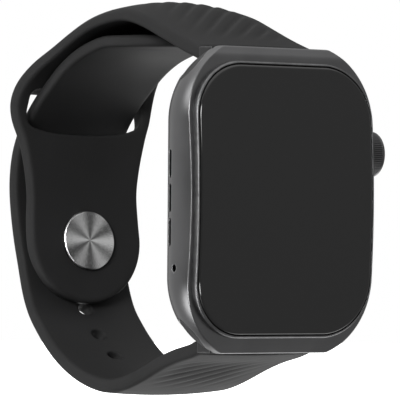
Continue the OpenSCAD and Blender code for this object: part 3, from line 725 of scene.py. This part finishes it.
def lug_shape(x, y, z, sign):
    section = lug_profile(y, z * sign)
    middle = both(section, np.abs(x) - LUG_W / 2, 0.15)
    ends = both(section, case_side(x, y, z, 0.15), 0.15)
    return np.minimum(middle, ends)


for node, sign in (("upper_lug", 1), ("lower_lug", -1)):
    lo, hi = box(node)
    piece = solid(node + "_end", lambda x, y, z, s=sign: lug_shape(x, y, z, s), lo, hi, FINE)
    keep(piece, lug_metal, "band", "lug_plastic", node)

# ---- straps ----
# Stations: Y, Z, half width, edge thickness, rise at the middle
HALF_LUG = LUG_W / 2
KEEPER = 13.5
TAIL = 10.2
UPPER = [
    (-2.9, 23.55, HALF_LUG, 2.28, 0.2), (2.5, 25.3, HALF_LUG, 2.2, 0.5),
    (8, 27.3, HALF_LUG + 0.1, 2.1, 0.9), (13.2, 29.15, HALF_LUG + 0.2, 2, 1.2),
    (18.5, 30.2, HALF_LUG + 0.2, 1.9, 1.5),
    (23.5, 29.9, HALF_LUG + 0.2, 1.8, 1.4), (28.5, 28.9, HALF_LUG + 0.3, 1.7, 1.2),
    (33.5, 27.2, HALF_LUG + 0.3, 1.7, 0.9), (38.4, 24.8, HALF_LUG + 0.8, 1.8, 0.6),
    (42.7, 22.5, HALF_LUG + 1.6, 2, 0.4), (46.2, 19.6, KEEPER - 0.2, 2.3, 0.3),
    (48, 16.4, KEEPER, 2.5, 0.2), (48.2, 13.2, KEEPER - 0.4, 2.5, 0.2),
    (47.9, 9.8, HALF_LUG + 0.9, 2.5, 0.1), (47.8, 6, HALF_LUG, 2.4, 0.1),
    (47.8, 1.5, HALF_LUG - 0.6, 2.4, 0.1), (47.6, -3, HALF_LUG - 0.4, 2.4, 0.1),
    (47.2, -6.2, HALF_LUG - 0.3, 2.4, 0.1)]
LOWER = [
    (-2.9, -23.55, HALF_LUG, 2.28, 0.2), (-0.2, -24.35, HALF_LUG, 2.2, 0.3), (4.3, -25.3, HALF_LUG, 2.2, 0.3),
    (9, -26.7, HALF_LUG - 0.1, 2.2, 0.5), (14.3, -28.6, HALF_LUG - 0.2, 2.2, 0.7),
    (19.5, -30, TAIL + 0.5, 2.2, 0.6), (24.5, -30.35, TAIL + 0.3, 2.2, 0.5),
    (29.6, -29.65, TAIL + 0.1, 2.2, 0.4), (34.1, -28.3, TAIL, 2.2, 0.3), (38.15, -26.35, TAIL, 2.2, 0.3),
    (41.5, -24.1, TAIL, 2.2, 0.3), (44.35, -21.6, TAIL, 2.2, 0.3), (47.05, -18.7, TAIL, 2.2, 0.3),
    (49, -15.2, TAIL, 2.3, 0.3), (50.6, -10.3, TAIL, 2.3, 0.3), (52, -5.8, TAIL, 2.3, 0.3),
    (53.1, -0.4, TAIL, 2.3, 0.3), (53.3, 4, TAIL, 2.3, 0.3), (52.5, 8.2, TAIL, 2.2, 0.3),
    (50.6, 11.9, TAIL, 2.1, 0.2), (48.1, 14.8, TAIL, 2, 0.1), (45.4, 17.3, TAIL, 2, 0.1),
    (42.2, 19.7, TAIL, 2, 0.1), (38.2, 22.4, TAIL, 2, 0.1), (33.7, 24.5, TAIL, 2, 0.1),
    (29, 25.8, TAIL, 2, 0.1), (25.7, 26.25, TAIL, 1.9, 0.1), (23, 26.25, TAIL, 1.9, 0.1)]
HOLE_R = 1.3
HOLE_PITCH = 6.3
HOLES = range(-4, 3)      # counted from the one that the stud is in
KEEPER_AT = (45.5, 14.4)  # middle of the slot that the tail passes
KEEPER_SLANT = math.radians(31)
KEEPER_HALF = TAIL + 0.85
KEEPER_TOP, KEEPER_FOOT = 3.6, -1.5
KEEPER_DISH = 2.7
KEEPER_POWER = 2.6
STRAP_EDGE = 0.8
RIDGE_PITCH = 3.5
POST_R = 1.08


class Path:
    """A smooth strap path: where it is, which way it goes, and its section, at a length along it."""

    def __init__(self, stations, side):
        p = np.array(stations, float)
        ends = np.concatenate([[2 * p[0] - p[1]], p, [2 * p[-1] - p[-2]]])
        rows = []
        t = np.linspace(0, 1, 24, endpoint=False)[:, None]
        for a, b, c, d in zip(ends, ends[1:], ends[2:], ends[3:]):
            rows.append((2 * b + (c - a) * t + (2 * a - 5 * b + 4 * c - d) * t ** 2
                         + (3 * b - a - 3 * c + d) * t ** 3) / 2)
        rows = np.concatenate(rows + [p[-1:]])
        for _ in range(40):
            rows[1:-1] = (rows[:-2] + 2 * rows[1:-1] + rows[2:]) / 4
        step = length(*np.diff(rows[:, :2], axis=0).T)
        self.s = np.concatenate([[0], np.cumsum(step)])
        self.rows = rows
        self.end = self.s[-1]
        self.side = side
        way = np.gradient(rows[:, :2], self.s, axis=0)
        self.way = way / length(*way.T)[:, None]

    def at(self, s, column):
        return np.interp(s, self.s, self.rows[:, column])

    def place(self, s, n):
        """Y and Z at a length s and a height n over the outer edge line; straight on past either end."""
        inside = np.clip(s, 0, self.end)
        wy, wz = np.interp(inside, self.s, self.way[:, 0]), np.interp(inside, self.s, self.way[:, 1])
        more = s - inside
        y = self.at(inside, 0) + wy * more - wz * self.side * n
        z = self.at(inside, 1) + wz * more + wy * self.side * n
        return y, z

    def nearest(self, y, z):
        return self.s[np.argmin(length(self.rows[:, 0] - y, self.rows[:, 1] - z))]


upper = Path(UPPER, 1)
lower = Path(LOWER, -1)


def smooth_step(v, a, b):
    t = np.clip((v - a) / (b - a), 0, 1)
    return t * t * (3 - 2 * t)


def ridges(s, x, slant, first, depth, reach):
    """Diagonal waves pressed into the outer face near the case, dying out by the given length."""
    phase = 2 * math.pi * (s - slant * x - first) / RIDGE_PITCH
    wave = -np.cos(phase) - 0.3 * np.cos(2 * phase + 0.8)
    fade = smooth_step(s, 3.0, 8.0) * (1 - smooth_step(s, reach - 8, reach))
    fade = fade * smooth_step(slant * x, -9.5, -1.0) * (1 - smooth_step(slant * x, 6.5, 10))
    return depth * wave * fade


def strap_body(path, s, x, n, end_r, rise):
    """A strap with a round end of the given radius, domed across, its outer face raised by rise."""
    half = np.where(s > path.end, end_r, path.at(s, 2))
    outline = np.where(s > path.end, length(s - path.end, x) - end_r, np.abs(x) - half)
    outline = np.maximum(outline, -s)
    across = np.clip(x / half, -1, 1)
    top = n - path.at(s, 4) * (1 - across ** 2) - rise
    bottom = -path.at(s, 3) - n
    return both(both(outline, top, STRAP_EDGE), bottom, STRAP_EDGE)


def keeper_slot(x, y, z):
    """The slot that the tail passes, slanted, straight at the top and dished below."""
    v = (z - KEEPER_AT[1]) * math.cos(KEEPER_SLANT) + (y - KEEPER_AT[0]) * math.sin(KEEPER_SLANT)
    straight = rounded(x, v - (KEEPER_TOP + KEEPER_FOOT) / 2, 2 * KEEPER_HALF, KEEPER_TOP - KEEPER_FOOT, 1.6)
    oval = np.abs(x / KEEPER_HALF) ** KEEPER_POWER + np.abs(v / KEEPER_DISH) ** KEEPER_POWER + 1e-9
    bowl = (oval ** (1 / KEEPER_POWER) - 1) * KEEPER_DISH
    return either(straight, bowl, 0.3)


stud_s = upper.end + 0.4
slot_start = upper.nearest(45.25, 19.2)


def upper_shape(s, x, n):
    d = strap_body(upper, s, x, n, HALF_LUG - 0.3, ridges(s, x, 1, 5.4, 0.115, 27))
    y, z = upper.place(s, n)
    d = cut(d, both(keeper_slot(x, y, z), slot_start - s, 1.3), 0.45)
    return cut(d, length(s - stud_s, x) - 1.1, 0.15)


# where the stud sits on the inner face, and which way it points
stud_y, stud_z = upper.place(stud_s, -2.4)
stud_way_y, stud_way_z = upper.place(stud_s, -1.4)
stud_out = np.array([0, stud_way_y - stud_y, stud_way_z - stud_z])


def stud_hole():
    """Where the stud's axis passes the lower strap's outer line."""
    offset = (lower.rows[:, 0] - stud_y) * stud_out[2] - (lower.rows[:, 1] - stud_z) * stud_out[1]
    far = np.where(lower.rows[:, 0] > 45, np.abs(offset), 99)
    return lower.s[np.argmin(far)]


holes = [stud_hole() + k * HOLE_PITCH for k in HOLES]


def lower_shape(s, x, n):
    d = strap_body(lower, s, x, n, TAIL, ridges(s, x, -1, 6.1, 0.11, 20))
    for place in holes:
        d = cut(d, length(s - place, x) - HOLE_R, 0.3)
    return d


def strap(name, path, shape, reach, cell):
    """Meshes a strap in its own length, width and height, then bends it along its path."""
    p, q = nets(shape, (0, -KEEPER, -2.6), (path.end + reach, KEEPER, 1.6), cell)
    edge = edge_of(shape, p, normals_of(shape, p))
    y, z = path.place(p[:, 0], p[:, 2])
    if path.side > 0:
        q = q[:, ::-1]
    return to_mesh(name, np.stack([p[:, 1], y, z], 1), q, edge)


strap_cell = 0.28
for name, path, shape, reach, node in (("strap_upper", upper, upper_shape, HALF_LUG, "upper_strap"),
                                       ("strap_lower", lower, lower_shape, TAIL, "lower_strap")):
    keep(strap(name, path, shape, reach, strap_cell), rubber, "band", "strap_rubber", node)

# ---- stud ----
stud_seat = np.array([0, stud_y, stud_z])
# the stud's steel has painted highlight wedges in its colour
stud_glint_steel = spun_steel_painted_glints("stud_steel", stud_seat * MM, stud_out, 0.6)
disc_outline = fillet([(-0.08, 0.05), (-0.08, disc_r), (-0.52, disc_r), (-0.75, disc_r - 0.22),
                       (-0.75, 0.05)], 0.1)
disc = lathe("stud_face", disc_outline, stud_seat, stud_out, 144)
keep(crease(disc, 25), stud_glint_steel, "band", "stud_steel", "stud_disc")
post_len = (box("stud_post")[1][1] - stud_y) / stud_out[1]
stack = post_len - 1.4    # both straps and their play
post_outline = fillet([(-0.08, 0.05), (-0.08, POST_R), (stack + 0.4, POST_R), (stack + 0.5, 2.1),
                       (stack + 0.8, 2.2), (stack + 1.3, 1.9), (stack + 1.4, 0.05)], 0.15)
post = lathe("stud_pin", post_outline, stud_seat, stud_out)
keep(crease(post, 40), turned_metal("pin_steel", 0.5, 0.3), "band", "stud_steel", "stud_post")

# ---- CAD pieces that keep their shape ----
SLOT_MATERIALS = {
    "seal_black": moulded("seal_black", (0.012, 0.012, 0.012), 0.5),
    "display": moulded("display", (0.006, 0.006, 0.007), 0.12, 2000.0, 0.000005, 0.1),
    "plate_steel": turned_metal("plate_steel", 0.5, 0.35, 1500.0),
    "flex_film": moulded("flex_film", (0.45, 0.2, 0.04), 0.3, 2500.0, 0.00001, 0.15),
    "screw_steel": screw_steel,
    "board_green": coated_board("board_green"),
    "led_resin": moulded("led_resin", (0.12, 0.45, 0.18), 0.15, 2500.0, 0.00001, 0.1),
    "coil_copper": turned_metal("coil_copper", 0.6, 0.3, 8000.0),
    "ferrite": moulded("ferrite", (0.03, 0.03, 0.032), 0.6),
    "battery_foil": turned_metal("battery_foil", 0.3, 0.4, 700.0),
    "wrap_film": moulded("wrap_film", (0.01, 0.04, 0.13), 0.35, 1800.0, 0.00002, 0.15),
    "chip_black": moulded("chip_black", (0.015, 0.015, 0.016), 0.45),
    "module_plastic": moulded("module_plastic", (0.02, 0.02, 0.021), 0.4),
    "mesh_metal": woven_mesh("mesh_metal"),
    "can_gold": turned_metal("can_gold", 0.6, 0.3, 3000.0),
    "shaft_steel": turned_metal("shaft_steel", 0.55, 0.25, 5000.0),
    "encoder_white": moulded("encoder_white", (0.7, 0.7, 0.7), 0.4),
}
for row in frame["record"]["subparts"]:
    node = frame["nodes"][row["node"]]
    if not node.hide_render:
        node.data.materials.clear()
        node.data.materials.append(SLOT_MATERIALS[row["material_slot"]])

# ---- camera ----
YAW, PITCH, ROLL = math.radians(35), math.radians(-0.8), math.radians(0.42)
DISTANCE = 625.0
LENS, SENSOR = 365.625, 36.0
# How far the middle of the case stands from the middle of the view, in millimetres
AIM = (11.0, -0.0615)

level = Vector((math.sin(YAW), math.cos(YAW), 0))
forward = level * math.cos(PITCH) - Vector((0, 0, math.sin(PITCH)))
flat_right = Vector((math.cos(YAW), -math.sin(YAW), 0))
flat_up = flat_right.cross(forward)
right = flat_right * math.cos(ROLL) + flat_up * math.sin(ROLL)
above = flat_up * math.cos(ROLL) - flat_right * math.sin(ROLL)
eye = Vector((0, WIDE_Y, 0)) - forward * DISTANCE - right * AIM[0] - above * AIM[1]

camera_data = bpy.data.cameras.new("camera")
camera_data.sensor_width = SENSOR
camera_data.lens = LENS
camera_data.clip_start = 0.01
camera_data.clip_end = 10.0
camera = bpy.data.objects.new("camera", camera_data)
turn = Matrix((right, above, -forward)).transposed().to_4x4()
camera.matrix_world = Matrix.Translation(eye * MM) @ turn
bpy.context.scene.collection.objects.link(camera)
bpy.context.scene.camera = camera

# ---- floor and light ----
FLOOR_Z = cad_lo[2] / MM - 6.0
FLOOR_R = 700.0
FLOOR_GLOW = 1.3


def light_table():
    """A pale lit sheet under the watch."""
    n = Nodes("light_table")
    fibre = n.noise(40, 4)
    sheet = n.finish(Base_Color=n.mix(fibre, grey(0.9), grey(0.93)),
                     Roughness=n.ramp(fibre, 0.3, 0.7, 0.8, 0.9),
                     Emission_Color=grey(1.0), Emission_Strength=FLOOR_GLOW)
    rim = [(FLOOR_R * math.cos(a), FLOOR_R * math.sin(a), FLOOR_Z)
           for a in np.linspace(0, 2 * math.pi, 96, endpoint=False)]
    obj = to_mesh("floor", rim, [list(range(len(rim)))])
    obj.data.materials.append(sheet)
    obj.visible_diffuse = obj.visible_glossy = False    # it lights nothing: the studio does


light_table()

# Soft lights: each is a direction, the cosines at which it starts and is full, and its strength
STUDIO = [
    ((-0.25, 0.97, 0.0), 0.35, 0.9, 0.5),
    ((0.7, -0.7, 0.0), -0.1, 0.8, 0.16),
    ((0, 0, 1), 0.5, 0.98, 1.0),
    ((0.57, 0.4, -0.72), 0.84, 0.98, 2.5),
    ((-0.78, 0.22, 0.52), 0.93, 0.99, 3.4),
    ((-0.78, 0.2, -0.54), 0.92, 0.985, 5.0),
    ((-0.76, -0.5, 0.28), 0.975, 0.99, 19.0),
    ((-0.76, -0.5, -0.34), 0.98, 0.992, 19.0),
]
SHADE = 0.22              # the room's own faint light, from everywhere


def studio_strength(tree):
    """How bright the room is in each direction."""
    place = tree.nodes.new("ShaderNodeTexCoord").outputs["Generated"]
    total = None
    for direction, start, full, strength in STUDIO:
        dot = tree.nodes.new("ShaderNodeVectorMath")
        dot.operation = "DOT_PRODUCT"
        tree.links.new(place, dot.inputs[0])
        dot.inputs[1].default_value = Vector(direction).normalized()
        ramp = tree.nodes.new("ShaderNodeMapRange")
        ramp.interpolation_type = "SMOOTHSTEP"
        for key, value in (("From Min", start), ("From Max", full), ("To Min", 0.0), ("To Max", strength)):
            ramp.inputs[key].default_value = value
        tree.links.new(dot.outputs["Value"], ramp.inputs["Value"])
        add = tree.nodes.new("ShaderNodeMath")
        add.inputs[0].default_value = SHADE
        if total is not None:
            tree.links.new(total, add.inputs[0])
        tree.links.new(ramp.outputs["Result"], add.inputs[1])
        total = add.outputs[0]
    return total


def studio_world():
    """The studio lights the watch, and the backdrop itself shows white."""
    world = bpy.data.worlds.new("studio")
    world.use_nodes = True
    tree = world.node_tree
    lit = tree.nodes["Background"]
    tree.links.new(studio_strength(tree), lit.inputs["Strength"])
    white = tree.nodes.new("ShaderNodeBackground")
    for background in (lit, white):
        background.inputs["Color"].default_value = (1, 1, 1, 1)
    seen = tree.nodes.new("ShaderNodeLightPath")
    choose = tree.nodes.new("ShaderNodeMixShader")
    tree.links.new(seen.outputs["Is Camera Ray"], choose.inputs["Fac"])
    tree.links.new(lit.outputs[0], choose.inputs[1])
    tree.links.new(white.outputs[0], choose.inputs[2])
    tree.links.new(choose.outputs[0], tree.nodes["World Output"].inputs["Surface"])
    bpy.context.scene.world = world


studio_world()
bpy.context.scene.view_settings.view_transform = "Standard"
